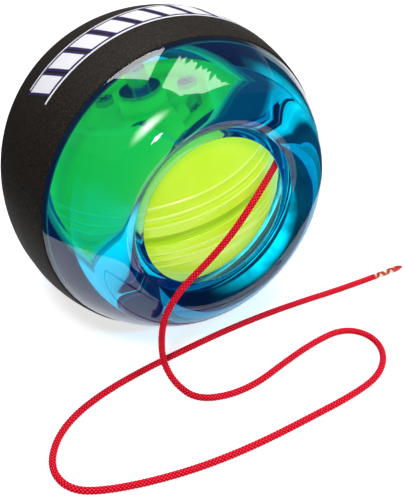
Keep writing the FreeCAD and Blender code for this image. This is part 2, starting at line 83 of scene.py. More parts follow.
BAND_HALF = 4.1                # half the width of the rotor's middle band
GROOVE_HALF = 1.1              # half the width of the string groove
GROOVE_DEPTH = 1.5
END_HEIGHT = 18.2              # of the rotor's flat ends
RIM_RADIUS = 12.8              # of the recess in an end
RECESS_FLOOR = 14.9            # height of its floor
CAP_FLOOR = 13.2               # height of the cap's inner face
BOSS_RADIUS = 4.6
HUB_RADIUS = 6.9
AXLE_RADIUS = 2.0
WHEEL_RADIUS = 19.23
FIT = 0.05
CORD_RADIUS = 0.73
TIP_RADIUS = 0.70
TIP_LENGTH = 8.4
TIP_TAPER = 3.0
TIP_END_RADIUS = 0.3

# Fineness of the meshes
ROUND_STEPS = 192              # of a turned piece
ARC_STEP = math.radians(3)
EDGE_STEPS = 4                 # over a rounded corner
RIB_STEPS = 8
ON_AXIS = 1e-6                 # a point this near the axis is on it
SAME_POINT = 1e-4              # two points this near are one
TURNED_SHARP = math.radians(42)
SWEPT_SHARP = math.radians(75)

# Camera, at the photograph's angle
CAMERA_PLACE = Vector((-73.84, -143.09, 116.36))
CAMERA_FORWARD = Vector((0.4267, 0.7198, -0.5476))
CAMERA_RIGHT = Vector((0.8602, -0.5100, 0))
CAMERA_LENS = 61.2
CAMERA_CLIP = 5


def add_camera():
    made = bpy.data.objects.new("camera", bpy.data.cameras.new("camera"))
    bpy.context.scene.collection.objects.link(made)
    up = CAMERA_RIGHT.cross(CAMERA_FORWARD)
    turn = Matrix((CAMERA_RIGHT, up, -CAMERA_FORWARD)).transposed().to_4x4()
    made.matrix_world = Matrix.Translation(CAMERA_PLACE * MM) @ turn
    made.data.lens = CAMERA_LENS
    made.data.clip_start = CAMERA_CLIP * MM
    bpy.context.scene.camera = made


add_camera()


# Materials
def new_material(name, **values):
    """A material with a Principled shader. A keyword is a socket's name, with _ for a space."""
    made = bpy.data.materials.new(name)
    made.use_nodes = True
    shader = made.node_tree.nodes["Principled BSDF"]
    for socket, value in values.items():
        shader.inputs[socket.replace("_", " ")].default_value = value
    return made


def shader_of(material):
    return material.node_tree.nodes["Principled BSDF"]


def add_node(material, kind, inputs=None, **settings):
    """A node with its settings; inputs are values or another node's output sockets."""
    tree = material.node_tree
    made = tree.nodes.new(kind)
    for name, value in settings.items():
        setattr(made, name, value)
    for socket, value in (inputs or {}).items():
        if isinstance(value, bpy.types.NodeSocket):
            tree.links.new(value, made.inputs[socket])
        else:
            made.inputs[socket].default_value = value
    return made


def connect(material, output, shader_input):
    material.node_tree.links.new(output, shader_of(material).inputs[shader_input])


def object_place(material):
    return add_node(material, "ShaderNodeTexCoord").outputs["Object"]


def noise(material, scale, detail=2.0, roughness=0.5, place=None):
    """Noise over the object's own coordinates; scale is in cycles per metre."""
    return add_node(material, "ShaderNodeTexNoise", {
        "Vector": place or object_place(material),
        "Scale": scale,
        "Detail": detail,
        "Roughness": roughness,
    }).outputs["Fac"]


def ramp(material, value, stops):
    """Colours over a value from 0 to 1; stops are (position, colour)."""
    made = add_node(material, "ShaderNodeValToRGB", {"Fac": value})
    band = made.color_ramp
    while len(band.elements) < len(stops):
        band.elements.new(0.5)
    for element, (position, colour) in zip(band.elements, stops):
        element.position = position
        element.color = (*colour, 1)
    return made.outputs["Color"]


def map_range(material, value, low, high, start=0.0, end=1.0):
    """A value spread from one range over another, and held at its ends."""
    return add_node(material, "ShaderNodeMapRange", {
        "Value": value,
        "From Min": low,
        "From Max": high,
        "To Min": start,
        "To Max": end,
    }).outputs["Result"]


def calculated(material, operation, *values):
    """The result of one operation on numbers or output sockets."""
    return add_node(material, "ShaderNodeMath", dict(enumerate(values)),
                    operation=operation).outputs[0]


def product(material, *values):
    """Numbers or output sockets multiplied by each other."""
    result = values[0]
    for value in values[1:]:
        result = calculated(material, "MULTIPLY", result, value)
    return result


def distance_from(material, place, middle):
    """How far a place is from a point given in mm; the result is in metres."""
    return add_node(material, "ShaderNodeVectorMath", {0: place, 1: tuple(middle * MM)},
                    operation="DISTANCE").outputs["Value"]


def mesh_value(material, name):
    """A value that the mesh keeps for each of its points."""
    return add_node(material, "ShaderNodeAttribute", attribute_name=name).outputs["Fac"]


def mixed(material, share, colour, other):
    """A colour that turns into another as the share goes from 0 to 1."""
    return add_node(material, "ShaderNodeMix", {"Factor": share, "A": colour, "B": other},
                    data_type="RGBA").outputs["Result"]


def tinted(material, colour, tint):
    """A colour multiplied by another."""
    return add_node(material, "ShaderNodeMix", {"Factor": 1.0, "A": colour, "B": tint},
                    data_type="RGBA", blend_type="MULTIPLY").outputs["Result"]


def bump(material, height, distance, strength=1.0):
    made = add_node(material, "ShaderNodeBump", {
        "Height": height,
        "Distance": distance,
        "Strength": strength,
    })
    connect(material, made.outputs["Normal"], "Normal")


def blue_plastic():
    """Clear blue, deeper the further light goes through it, and open to light from lamps. It
    carries a faint painted blue glow of its own.
    """
    made = new_material("blue_plastic", Base_Color=(0.80, 0.95, 1.0, 1), Roughness=0.0,
                        IOR=1.57, Transmission_Weight=1.0, Emission_Strength=1.0,
                        Emission_Color=(0.0, 0.004, 0.025, 1))
    tree = made.node_tree
    output = tree.nodes["Material Output"]
    path = add_node(made, "ShaderNodeLightPath")
    clear = add_node(made, "ShaderNodeBsdfTransparent", {"Color": (0.8, 0.95, 1.0, 1)})
    mix = add_node(made, "ShaderNodeMixShader", {
        0: path.outputs["Is Shadow Ray"],
        1: shader_of(made).outputs["BSDF"],
        2: clear.outputs["BSDF"],
    })
    tree.links.new(mix.outputs["Shader"], output.inputs["Surface"])
    depth = add_node(made, "ShaderNodeVolumeAbsorption", {
        "Color": (0.0, 0.942, 0.982, 1),
        "Density": 480.0,
    })
    tree.links.new(depth.outputs["Volume"], output.inputs["Volume"])
    return made


BONDED_REACH = SEAT_RADIUS + 0.4   # from the ball's middle to the end of the bonded face
BARE_REACH = SEAT_RADIUS + 0.8     # and to where the outside of the grip begins
GLOW_WAY = (0.95, 0.0, -0.20)      # towards the side of the grip that glows
GLOW_SIDE = (2 * MM, 17 * MM)      # along that way, from no glow to all of it
GLOW_DEPTH = (-13.0 * MM, -9.5 * MM)   # along Y, from all of it to almost none
GLOW_STRENGTH = 1.9


def speckled_rubber():
    """Dark rubber, finely speckled. The front of its bonded face has a painted glow in uneven
    patches, which stands in for the light that the clear shells carry to it, most of it towards
    +X."""
    made = new_material("speckled_rubber", Roughness=0.7, Specular_IOR_Level=0.2,
                        Emission_Color=(0.8, 1.05, 1.0, 1))
    place = object_place(made)
    specks = noise(made, 2600, detail=3.0, roughness=0.7, place=place)
    dark = ramp(made, specks, [
        (0.30, (0.002, 0.0015, 0.0012)),
        (0.52, (0.009, 0.007, 0.005)),
        (0.66, (0.030, 0.020, 0.014)),
        (0.80, (0.090, 0.055, 0.040)),
    ])
    reach = distance_from(made, place, BALL_CENTRE)
    bonded = map_range(made, reach, BONDED_REACH * MM, BARE_REACH * MM, 1.0, 0.0)
    connect(made, mixed(made, bonded, dark, (0.14, 0.14, 0.14, 1)), "Base Color")
    to_side = add_node(made, "ShaderNodeVectorMath", {0: place, 1: GLOW_WAY},
                       operation="DOT_PRODUCT").outputs["Value"]
    side_share = map_range(made, to_side, *GLOW_SIDE)
    depth = add_node(made, "ShaderNodeSeparateXYZ", {0: place}).outputs["Y"]
    front_share = map_range(made, depth, *GLOW_DEPTH, 1.0, 0.05)
    patches = noise(made, 160, detail=3.0, place=place)
    uneven = map_range(made, patches, 0.36, 0.58, 0.40, 1.0)
    # Painted glow on the front of the bonded face, standing in for light that the clear shells
    # carry to it
    glow = product(made, bonded, side_share, front_share, uneven, GLOW_STRENGTH)
    connect(made, glow, "Emission Strength")
    bump(made, specks, 0.00012, 0.6)
    return made


def printed_ink(name, colour):
    """Ink on rubber, a little worn through where the rubber is rough."""
    made = new_material(name, Roughness=0.55, Specular_IOR_Level=0.3)
    place = object_place(made)
    wear = noise(made, 1900, detail=4.0, roughness=0.7, place=place)
    worn = tuple(0.35 * part for part in colour)
    connect(made, ramp(made, wear, [(0.26, worn), (0.36, colour)]), "Base Color")
    bump(made, wear, 0.00004, 0.4)
    return made


def fluorescent_green():
    """Fluorescent moulded plastic, with a painted highlight along its ribs and painted shade in
    its crevices. Most of its brightness is a painted glow, for its fluorescence and for the
    light that reaches it inside the shells.
    """
    made = new_material("fluorescent_green", Roughness=0.28, Emission_Strength=0.62,
                        Coat_Weight=0.35, Coat_Roughness=0.08)
    place = object_place(made)
    reach = distance_from(made, place, BALL_CENTRE)
    # Painted highlight: the outer edge of each rib is given a paler colour
    rib_highlight = map_range(made, reach, (ROTOR_RADIUS + RIB_HEIGHT * 0.05) * MM,
                       (ROTOR_RADIUS + RIB_HEIGHT * 0.80) * MM)
    mottled = ramp(made, noise(made, 130, detail=3.0, place=place), [
        (0.25, (0.57, 0.88, 0.025)),
        (0.75, (0.65, 0.94, 0.050)),
    ])
    with_rib_highlight = mixed(made, rib_highlight, mottled, (0.76, 0.98, 0.20, 1))
    # Painted shade: ambient occlusion darkens the colour in crevices and hollows
    open_share = add_node(made, "ShaderNodeAmbientOcclusion", {"Distance": 0.003},
                          only_local=True, samples=8).outputs["AO"]
    hollow_shade = ramp(made, open_share, [
        (0.45, (0.50, 0.62, 0.20)),
        (0.92, (1.0, 1.0, 1.0)),
    ])
    colour = tinted(made, with_rib_highlight, hollow_shade)
    # Painted glow: most of the rotor's brightness comes from this emission, not from the lamps
    connect(made, colour, "Emission Color")
    connect(made, tinted(made, colour, (0.38, 0.38, 0.38, 1)), "Base Color")
    bump(made, noise(made, 900, detail=2.0, place=place), 0.00003, 0.3)
    return made


def steel(name, colour, roughness):
    """Turned steel with fine brushing."""
    made = new_material(name, Base_Color=(*colour, 1), Metallic=1.0, Roughness=roughness)
    bump(made, noise(made, 3000, detail=1.0), 0.00002, 0.4)
    return made


def bright_race():
    """Polished hard rings with a painted glow, which stands in for the light that the clear
    shells carry to them.
    """
    made = new_material("polished_race", Metallic=0.3, Roughness=0.3, Emission_Strength=0.45,
                        Emission_Color=(0.80, 0.90, 0.95, 1))
    turned_lines = noise(made, 2500, detail=1.0)
    colour = ramp(made, turned_lines, [
        (0.3, (0.72, 0.74, 0.76)),
        (0.7, (0.86, 0.87, 0.88)),
    ])
    connect(made, colour, "Base Color")
    bump(made, turned_lines, 0.00002, 0.3)
    return made


def moulded(name, colour, roughness, grain=1500):
    """Moulded plastic or metal with a fine grain."""
    made = new_material(name, Roughness=roughness)
    shade = noise(made, grain / 6, detail=2.0)
    dark = tuple(0.86 * part for part in colour)
    connect(made, ramp(made, shade, [(0.3, dark), (0.7, colour)]), "Base Color")
    bump(made, noise(made, grain, detail=2.0), 0.00003, 0.5)
    return made


def glowing_ring():
    """Pale moulded plastic with a painted glow, which stands in for the light that the clear
    shells carry to it.
    """
    made = moulded("pale_ring", (0.66, 0.74, 0.66), 0.3)
    shader_of(made).inputs["Emission Color"].default_value = (0.45, 0.80, 0.50, 1)
    shader_of(made).inputs["Emission Strength"].default_value = 0.35
    return made


def braid_red():
    """Red braid; the mesh's own height paints a highlight on the crests of the strands and shade
    in the gaps between them.
    """
    made = new_material("braid_red", Roughness=0.6, Specular_IOR_Level=0.05)
    colour = ramp(made, mesh_value(made, "crest"), [
        (0.08, (0.16, 0.000, 0.012)),
        (0.35, (0.55, 0.000, 0.014)),
        (0.65, (0.82, 0.002, 0.022)),
        (0.92, (1.00, 0.09, 0.12)),
    ])
    connect(made, colour, "Base Color")
    return made


def tip_wrap():
    """Red threads crossed over a gold and white wrap, all of it under lacquer."""
    made = new_material("tip_wrap", Roughness=0.25, Coat_Weight=0.6, Coat_Roughness=0.05)
    colour = ramp(made, mesh_value(made, "bare"), [
        (0.20, (0.56, 0.02, 0.03)),
        (0.38, (0.22, 0.04, 0.03)),
        (0.55, (0.60, 0.42, 0.16)),
        (0.95, (0.92, 0.88, 0.74)),
    ])
    connect(made, colour, "Base Color")
    return made


# Outlines and meshes
def arc(centre, radius, start, end):
    """Points of an arc from one angle to another, in radians."""
    steps = max(2, math.ceil(abs(end - start) / ARC_STEP))
    angles = [start + (end - start) * step / steps for step in range(steps + 1)]
    return [(centre[0] + radius * math.cos(a), centre[1] + radius * math.sin(a)) for a in angles]


def on_sphere(radius, start_height, end_height):
    """Points of an arc on a sphere round the middle, between two heights."""
    return arc((0, 0), radius, math.asin(start_height / radius), math.asin(end_height / radius))


def rounded(corner, before, after, radius):
    """Points of a small arc in place of a sharp corner."""
    here = Vector(corner)
    back = (Vector(before) - here).normalized()
    ahead = (Vector(after) - here).normalized()
    half = back.angle(ahead) / 2
    room = 0.48 * min((Vector(before) - here).length, (Vector(after) - here).length)
    setback = min(radius / math.tan(half), room)
    start, end = here + back * setback, here + ahead * setback
    points = []
    for step in range(EDGE_STEPS + 1):
        share = step / EDGE_STEPS
        points.append(tuple(
            start * (1 - share) ** 2 + here * 2 * share * (1 - share) + end * share ** 2
        ))
    return points


def outline(*parts):
    """A closed outline from runs of points and single points. A point is its radius and height,
    and a third number rounds it."""
    points = []
    for part in parts:
        if isinstance(part, tuple):
            points.append((part[0], part[1], part[2] if len(part) == 3 else 0))
        else:
            points.extend((r, h, 0) for r, h in part)
    clean = [p for i, p in enumerate(points)
             if math.dist(p[:2], points[i - 1][:2]) > SAME_POINT]
    result = []
    for index, (r, h, radius) in enumerate(clean):
        if radius:
            before = clean[index - 1][:2]
            after = clean[(index + 1) % len(clean)][:2]
            result.extend(rounded((r, h), before, after, radius))
        else:
            result.append((r, h))
    return result


def new_object(name, verts, faces, material):
    """A mesh object in the scene, with one material."""
    mesh = bpy.data.meshes.new(name)
    mesh.from_pydata(verts, [], faces)
    mesh.materials.append(material)
    made = bpy.data.objects.new(name, mesh)
    bpy.context.scene.collection.objects.link(made)
    return made


def new_piece(name, verts, faces, material, body, sharp=TURNED_SHARP):
    """A piece on its body, with its faces outward and smooth."""
    piece = new_object(name, verts, faces, material)
    shape = bmesh.new()
    shape.from_mesh(piece.data)
    bmesh.ops.recalc_face_normals(shape, faces=shape.faces)
    shape.to_mesh(piece.data)
    shape.free()
    piece.data.shade_smooth()
    piece.data.set_sharp_from_angle(angle=sharp)
    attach(piece, body)
    return piece


def turned(name, points, place, material, body):
    """A closed solid turned about the height axis of its frame, from an outline in mm."""
    verts, faces, rings = [], [], []
    for r, h in points:
        if r < ON_AXIS:
            rings.append([len(verts)] * ROUND_STEPS)
            verts.append(place @ Vector((0, 0, h)) * MM)
        else:
            rings.append(list(range(len(verts), len(verts) + ROUND_STEPS)))
            for step in range(ROUND_STEPS):
                angle = TURN * step / ROUND_STEPS
                corner = Vector((r * math.cos(angle), r * math.sin(angle), h))
                verts.append(place @ corner * MM)
    for ring, following in zip(rings, rings[1:] + rings[:1]):
        if ring[0] == ring[1] and following[0] == following[1]:
            continue
        for step in range(ROUND_STEPS):
            ahead = (step + 1) % ROUND_STEPS
            corners = [ring[step], ring[ahead], following[ahead], following[step]]
            faces.append(list(dict.fromkeys(corners)))
    return new_piece(name, verts, faces, material, body)


# Cord
CORD_ROUTE = [
    (18.4, -18.7, 39.4),
    (15.4, -21.8, 39.0),
    (11.2, -24.9, 38.2),
    (6.6, -27.2, 35.6),
    (1.4, -28.1, 30.5),
    (-3.6, -27.6, 25.5),
    (-9.9, -27.0, 20.4),
    (-13.6, -26.9, 14.9),
    (-14.3, -26.9, 7.8),
    (-13.7, -27.4, 2.9),
    (-13.1, -31.0, 0.73),
    (-11.8, -36.2, 0.73),
    (-6.8, -38.7, 0.73),
    (0.4, -38.9, 0.73),
    (9.2, -36.4, 0.73),
    (18.2, -34.2, 0.73),
    (26.6, -33.6, 0.73),
    (30.6, -38.0, 0.73),
    (29.5, -44.4, 0.73),
    (23.6, -49.5, 0.73),
    (15.0, -51.2, 0.73),
    (4.6, -51.9, 0.73),
    (-6.2, -52.5, 0.73),
    (-17.0, -52.3, 0.73),
    (-27.2, -50.9, 0.73),
    (-36.6, -48.3, 0.73),
    (-42.0, -45.2, 0.73),
    (-43.4, -39.4, 0.73),
    (-40.4, -33.4, 0.73),
    (-34.8, -28.7, 0.73),
    (-26.6, -25.5, 0.73),
    (-16.6, -23.5, 0.73),
    (-6.4, -22.3, 0.73),
    (4.2, -21.2, 0.73),
    (15.2, -20.8, 0.73),
    (25.8, -21.1, 0.73),
    (35.8, -21.8, 0.73),
    (45.6, -21.9, 0.73),
]
BRAID_STRANDS = 6              # strands seen round the cord in each direction
BRAID_PITCH = 4.2              # mm that one strand takes to go once round
BRAID_DEPTH = 0.18             # mm between the strands' crests and the gaps
CORD_STEP = 0.13               # mm between the cord's rings
CORD_SIDES = 40
TIP_STEPS = 120                # rings along the tip
TIP_SIDES = 32
WRAP_PITCH = 3.1               # mm that one red thread of the tip takes to go once round
WRAP_BARE = 5.9                # mm of the tip that shows gold between the red threads
THREAD_HEIGHT = 0.04           # mm that the threads stand over the gold
THREAD_EDGE = 3.2              # how quickly the gold shows beside a thread


def cord_path():
    """Points along the cord's middle, read from the smooth spline of its route."""
    curve = bpy.data.curves.new("cord_route", "CURVE")
    curve.dimensions = "3D"
    curve.resolution_u = 24
    spline = curve.splines.new("NURBS")
    spline.points.add(len(CORD_ROUTE) - 1)
    for point, place in zip(spline.points, CORD_ROUTE):
        point.co = (*(Vector(place) * MM), 1)
    spline.order_u = 3
    spline.use_endpoint_u = True
    holder = bpy.data.objects.new("cord_route", curve)
    bpy.context.scene.collection.objects.link(holder)
    bpy.context.view_layer.update()
    line = bpy.data.meshes.new_from_object(holder)
    points = [vertex.co.copy() for vertex in line.vertices]
    bpy.data.objects.remove(holder)
    bpy.data.meshes.remove(line)
    return points


def even_steps(points, step):
    """Points at equal steps along a line, its ends included."""
    lengths = [0]
    for before, after in zip(points, points[1:]):
        lengths.append(lengths[-1] + (after - before).length)
    count = round(lengths[-1] / step)
    placed = []
    index = 0
    for number in range(count + 1):
        along = lengths[-1] * number / count
        while index < len(points) - 2 and lengths[index + 1] < along:
            index += 1
        share = (along - lengths[index]) / (lengths[index + 1] - lengths[index])
        placed.append(points[index].lerp(points[index + 1], share))
    return placed


def swept(name, path, sides, radius_at, material, body, attribute):
    """A tube along a path. radius_at(share round, mm along) gives its radius in mm and a
    value that the mesh keeps for its material."""
    verts, faces, kept = [], [], []
    across = (path[1] - path[0]).orthogonal().normalized()
    along = 0.0
    for index, middle in enumerate(path):
        ahead = path[min(index + 1, len(path) - 1)]
        behind = path[max(index - 1, 0)]
        way = (ahead - behind).normalized()
        across = (across - way * across.dot(way)).normalized()
        side = way.cross(across)
        if index:
            along += (middle - path[index - 1]).length / MM
        for corner in range(sides):
            share = corner / sides
            radius, value = radius_at(share, along)
            angle = TURN * share
            outward = across * math.cos(angle) + side * math.sin(angle)
            verts.append(middle + outward * radius * MM)
            kept.append(value)
    for ring in range(len(path) - 1):
        for corner in range(sides):
            following = (corner + 1) % sides
            faces.append((ring * sides + corner, ring * sides + following,
                          (ring + 1) * sides + following, (ring + 1) * sides + corner))
    faces.append(tuple(reversed(range(sides))))
    faces.append(tuple(range(len(verts) - sides, len(verts))))
    piece = new_piece(name, verts, faces, material, body, sharp=SWEPT_SHARP)
    piece.data.attributes.new(attribute, "FLOAT", "POINT").data.foreach_set("value", kept)
    return piece


def braid(share, along):
    """Height of a diamond braid, strands over and under each other in turn."""
    right = share * BRAID_STRANDS + along * BRAID_STRANDS / BRAID_PITCH
    left = share * BRAID_STRANDS - along * BRAID_STRANDS / BRAID_PITCH
    over = (math.floor(right) + math.floor(left)) % 2
    across, along_strand = (right, left) if over else (left, right)
    width = math.sin(math.pi * (across % 1)) ** 0.9
    rise = math.sin(math.pi * (along_strand % 1)) ** 1.2
    height = width * (0.30 + 0.70 * rise)
    return CORD_RADIUS - BRAID_DEPTH + BRAID_DEPTH * height, height


def wrapped_tip(share, along):
    """Radius of the cord's stiff end, and how far a point on it is from the red threads."""
    turns = along / WRAP_PITCH
    away = min(abs((share + turns) % 1 - 0.5), abs((share - turns) % 1 - 0.5))
    bare = min(1, away * THREAD_EDGE) if along < WRAP_BARE else 0
    body = TIP_RADIUS
    if along > TIP_LENGTH - TIP_TAPER:
        taper = (along - TIP_LENGTH + TIP_TAPER) / TIP_TAPER
        body += (TIP_END_RADIUS - body) * taper ** 3
    return body - THREAD_HEIGHT * bare, bare


path = cord_path()
cord = swept("braided_cord", even_steps(path, CORD_STEP * MM), CORD_SIDES, braid,
             braid_red(), "shell", "crest")
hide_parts("starter_cord")
end_way = (path[-1] - path[-2]).normalized()
tip_path = [path[-1] + end_way * TIP_LENGTH * MM * step / TIP_STEPS
            for step in range(TIP_STEPS + 1)]
tip = swept("wrapped_tip", tip_path, TIP_SIDES, wrapped_tip,
            tip_wrap(), "shell", "bare")
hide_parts("cord_tip")

# Shells. A curved run of an outline stops a little short of a corner that is rounded.
SHELL_SPLIT = 0.03             # half of the gap between the two shells
LIP_SHARE = 0.9                # share of the lip's round before its rounded end

blue = blue_plastic()
shoulder_centre = (CREST[0], CREST[1] - SHOULDER_RADIUS)
shoulder_start = math.atan2(shoulder_centre[1], shoulder_centre[0])
lip_run = CREST[0] - LIP_LINE[0]
lip_drop = CREST[1] - LIP_LINE[1]
lip_round = (lip_run ** 2 + lip_drop ** 2) / (2 * lip_drop)
hole_height = math.sqrt(CAVITY_RADIUS ** 2 - HOLE_RADIUS ** 2)
recess_edge = math.sqrt(CAVITY_RADIUS ** 2 - RECESS[1] ** 2)

front_shell = turned("clear_front_shell", outline(
    (SEAT_RADIUS, SHELL_SPLIT),
    on_sphere(SEAT_RADIUS, 1.0, GRIP_FRONT - 0.5),
    (math.sqrt(SEAT_RADIUS ** 2 - GRIP_FRONT ** 2), GRIP_FRONT, 0.2),
    (math.sqrt(SHELL_RADIUS ** 2 - GRIP_FRONT ** 2), GRIP_FRONT, 0.15),
    on_sphere(SHELL_RADIUS, GRIP_FRONT + 0.6, SHELL_RADIUS * math.sin(shoulder_start)),
    arc(shoulder_centre, SHOULDER_RADIUS, shoulder_start, math.pi / 2),
    arc((CREST[0], CREST[1] - lip_round), lip_round, math.pi / 2,
        math.pi / 2 + math.asin(lip_run / lip_round) * LIP_SHARE),
    (*LIP_LINE, 0.25),
    (HOLE_RADIUS, hole_height + HOLE_EDGE, 0.15),
    (HOLE_RADIUS, hole_height, 0.12),
    on_sphere(CAVITY_RADIUS, hole_height - 0.5, RECESS[1] + 0.5),
    (recess_edge, RECESS[1], 0.1),
    (*RECESS, 0.1),
    (RECESS[0], RACE_TOP),
    (TRACK_RADIUS, RACE_TOP),
    (TRACK_RADIUS, SHELL_SPLIT),
), BALL_FRAME, blue, "shell")
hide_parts("front_shell")

base_flat = math.sqrt((SHELL_RADIUS - BASE_ROUND) ** 2 - (BASE_HEIGHT - BASE_ROUND) ** 2)
base_corner = (base_flat, -(BASE_HEIGHT - BASE_ROUND))
base_angle = math.atan2(base_corner[1], base_corner[0])
rear_shell = turned("clear_rear_shell", outline(
    (SEAT_RADIUS, -SHELL_SPLIT),
    (TRACK_RADIUS, -SHELL_SPLIT),
    (TRACK_RADIUS, -RACE_TOP),
    (RECESS[0], -RACE_TOP),
    (RECESS[0], -RECESS[1], 0.1),
    (recess_edge, -RECESS[1], 0.1),
    on_sphere(CAVITY_RADIUS, -RECESS[1] - 0.5, -CAVITY_RADIUS),
    (0, -COVER_FLOOR),
    (COVER_RADIUS, -COVER_FLOOR, 0.1),
    (COVER_RADIUS, -BASE_HEIGHT, 0.15),
    arc(base_corner, BASE_ROUND, -math.pi / 2, base_angle),
    on_sphere(SHELL_RADIUS, SHELL_RADIUS * math.sin(base_angle), -GRIP_REAR - 0.6),
    (math.sqrt(SHELL_RADIUS ** 2 - GRIP_REAR ** 2), -GRIP_REAR, 0.15),
    (math.sqrt(SEAT_RADIUS ** 2 - GRIP_REAR ** 2), -GRIP_REAR, 0.2),
    on_sphere(SEAT_RADIUS, -GRIP_REAR + 0.5, -1.0),
), BALL_FRAME, blue, "shell")
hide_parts("rear_shell")

# Grip and its print
GRIP_BOND = 0.03               # how far the rubber reaches into the clear shells
grip_inside = SEAT_RADIUS - GRIP_BOND
grip_sphere = math.hypot(GRIP_RADIUS, LAND_HALF)
front_end = GRIP_FRONT + GRIP_BOND
rear_end = GRIP_REAR + GRIP_BOND
grip = turned("rubber_grip", outline(
    (math.sqrt(grip_inside ** 2 - front_end ** 2), front_end, 0.3),
    on_sphere(grip_inside, front_end - 1, 1 - rear_end),
    (math.sqrt(grip_inside ** 2 - rear_end ** 2), -rear_end, 0.3),
    (math.sqrt(grip_sphere ** 2 - rear_end ** 2), -rear_end, 0.4),
    on_sphere(grip_sphere, 0.7 - rear_end, -LAND_HALF),
    on_sphere(grip_sphere, LAND_HALF, front_end - 0.7),
    (math.sqrt(grip_sphere ** 2 - front_end ** 2), front_end, 0.4),
), BALL_FRAME, speckled_rubber(), "shell")
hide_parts("grip_sleeve")

PRINT_START = math.radians(42)     # round the ball, up from +X
PRINT_END = math.radians(140)
PRINT_LINES = (3.1, -4.7)          # heights of the two thin lines
PRINT_LINE = 0.4                   # their width
BAR_TOP = 2.3
BAR_BOTTOM = -3.8
BAR_WIDTH = 3.9
BAR_PITCH = 5.6
BAR_SLANT = 0.35                   # mm along for each mm of height
PRINT_EDGE = 0.55                  # dark edge round each bar
PRINT_LIFT = 0.05                  # of the ink over the rubber
PRINT_SINK = 0.10                  # of the ink into it
PRINT_GRID = 0.8                   # widest step between the ink's points


def on_grip(along, height, lift):
    """A point on the grip, from the mm along it from the middle of the print."""
    middle = (PRINT_START + PRINT_END) / 2
    angle = middle - along / GRIP_RADIUS
    radius = min(GRIP_RADIUS, math.sqrt(grip_sphere ** 2 - height ** 2)) + lift
    place = Vector((radius * math.cos(angle), radius * math.sin(angle), height))
    return BALL_FRAME @ place * MM


def printed(name, areas, lift, material):
    """Thin closed slabs on the grip. An area is its left, right, bottom and top, and whether it
    slants."""
    verts, faces = [], []
    for left, right, bottom, top, slanted in areas:
        columns = max(2, math.ceil((right - left) / PRINT_GRID))
        rows = max(1, math.ceil((top - bottom) / PRINT_GRID))
        base = len(verts)
        layer = (columns + 1) * (rows + 1)
        for depth in (lift, -PRINT_SINK):
            for row in range(rows + 1):
                height = bottom + (top - bottom) * row / rows
                shift = BAR_SLANT * height if slanted else 0
                for column in range(columns + 1):
                    along = left + (right - left) * column / columns + shift
                    verts.append(on_grip(along, height, depth))
        rim = [(0, column) for column in range(columns)]
        rim += [(row, columns) for row in range(rows)]
        rim += [(rows, column) for column in range(columns, 0, -1)]
        rim += [(row, 0) for row in range(rows, 0, -1)]
        rim = [base + row * (columns + 1) + column for row, column in rim]
        for before, after in zip(rim, rim[1:] + rim[:1]):
            faces.append((before, after, after + layer, before + layer))
        for row in range(rows):
            for column in range(columns):
                corner = base + row * (columns + 1) + column
                face = (corner, corner + 1, corner + columns + 2, corner + columns + 1)
                faces.append(face)
                faces.append(tuple(index + layer for index in reversed(face)))
    return new_piece(name, verts, faces, material, "shell")


print_length = (PRINT_END - PRINT_START) * GRIP_RADIUS
bar_count = int(print_length / BAR_PITCH)
bars, edges = [], []
for number in range(bar_count):
    left = (number - bar_count / 2) * BAR_PITCH + (BAR_PITCH - BAR_WIDTH) / 2
    bars.append((left, left + BAR_WIDTH, BAR_BOTTOM, BAR_TOP, True))
    edges.append((left - PRINT_EDGE, left + BAR_WIDTH + PRINT_EDGE,
                  BAR_BOTTOM - PRINT_EDGE, BAR_TOP + PRINT_EDGE, True))
lines = [(-print_length / 2, print_length / 2,
          height - PRINT_LINE / 2, height + PRINT_LINE / 2, False)
         for height in PRINT_LINES]
printed("print_edges", edges, PRINT_LIFT / 2, printed_ink("purple_ink", (0.022, 0.008, 0.095)))
white_ink = printed_ink("white_ink", (0.80, 0.80, 0.84))
printed("print_bars", bars, PRINT_LIFT, white_ink)
printed("print_lines", lines, PRINT_LIFT, white_ink)


# Rotor
def rib(height):
    """Points over one rounded rib, from its lower side to its upper side."""
    points = []
    for step in range(RIB_STEPS + 1):
        share = step / RIB_STEPS
        level = height + RIB_WIDTH * (share - 0.5)
        lift = RIB_HEIGHT * math.sin(math.pi * share) ** 1.5
        points.append((math.sqrt(ROTOR_RADIUS ** 2 - level ** 2) + lift, level))
    return points


green = fluorescent_green()
groove_floor = ROTOR_RADIUS - GROOVE_DEPTH
band = turned("green_band", outline(
    (HUB_RADIUS + FIT, BAND_HALF),
    (HUB_RADIUS + FIT, -BAND_HALF),
    (math.sqrt(ROTOR_RADIUS ** 2 - BAND_HALF ** 2), -BAND_HALF, 0.12),
    rib(-BAND_RIB),
    (math.sqrt(ROTOR_RADIUS ** 2 - GROOVE_HALF ** 2), -GROOVE_HALF, 0.2),
    arc((groove_floor + GROOVE_HALF, 0), GROOVE_HALF, -math.pi * 0.75, -math.pi * 1.25),
    (math.sqrt(ROTOR_RADIUS ** 2 - GROOVE_HALF ** 2), GROOVE_HALF, 0.2),
    rib(BAND_RIB),
    (math.sqrt(ROTOR_RADIUS ** 2 - BAND_HALF ** 2), BAND_HALF, 0.12),
), ROTOR_FRAME, green, "rotor")
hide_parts("string_band")

